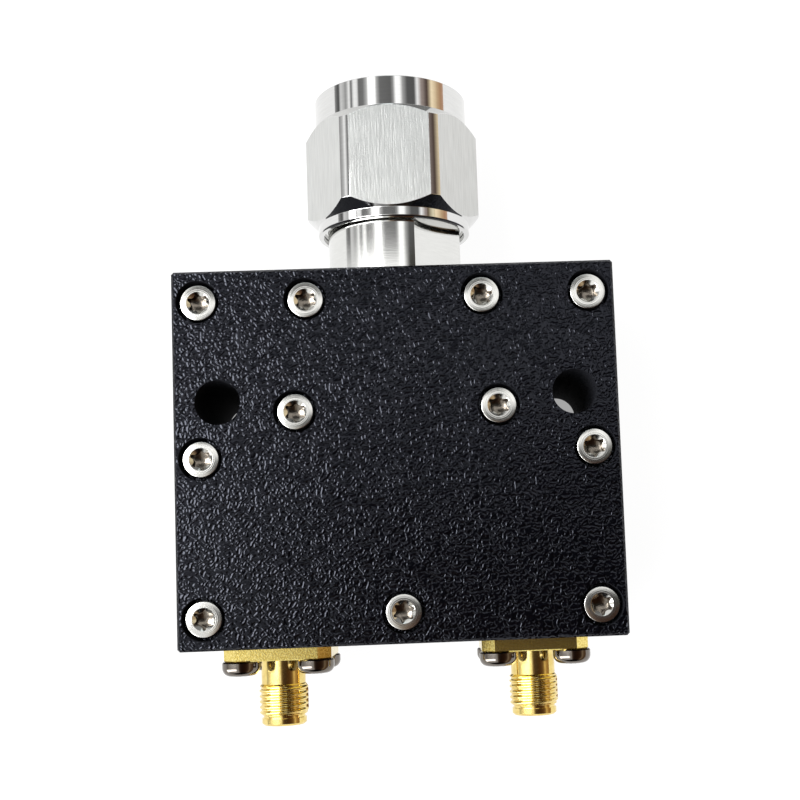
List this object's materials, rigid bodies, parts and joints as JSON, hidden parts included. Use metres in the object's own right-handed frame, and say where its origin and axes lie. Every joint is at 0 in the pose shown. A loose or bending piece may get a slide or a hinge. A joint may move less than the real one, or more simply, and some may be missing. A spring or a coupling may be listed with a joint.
{
  "type": "rf power splitter",
  "caption": "Coaxial power splitter: a milled box with a screwed cover, an N plug with a turning coupling nut, and SMA flange jacks.",
  "frame": {"origin": "centre of the box's flat back face", "axes": "+Z out of the screwed cover, +Y towards the N plug, +X to the right seen from the cover side"},
  "size_m": [0.055, 0.0828, 0.025],
  "materials": {
    "black_coat": "matte",
    "screw_steel": "satin",
    "laminate": "matte",
    "copper": "satin",
    "chip": "matte",
    "connector_steel": "polished",
    "ptfe": "satin",
    "gold": "polished",
    "seal_rubber": "matte",
    "spring_steel": "polished",
    "dark_screw": "gloss"
  },
  "bodies": {
    "splitter": {"housing": "black_coat", "cover": "black_coat", "cover_screws": "screw_steel", "divider_board": "laminate", "trace_pattern": "copper", "isolation_resistor": "chip", "board_screws": "screw_steel", "n_body": "connector_steel", "n_dielectric": "ptfe", "n_center_pin": "gold", "n_gasket": "seal_rubber", "n_snap_ring": "spring_steel", "left_sma_body": "gold", "left_sma_insulator": "ptfe", "left_sma_contact": "gold", "left_flange_screws": "dark_screw", "right_sma_body": "gold", "right_sma_insulator": "ptfe", "right_sma_contact": "gold", "right_flange_screws": "dark_screw"},
    "nut": {"coupling_nut": "connector_steel"}
  },
  "joints": [
    {"name": "coupling_turn", "type": "hinge", "parent": "splitter", "child": "nut", "pos_m": [0, 0.0397, 0.0125], "axis": [0, 1, 0], "continuous": true}
  ]
}
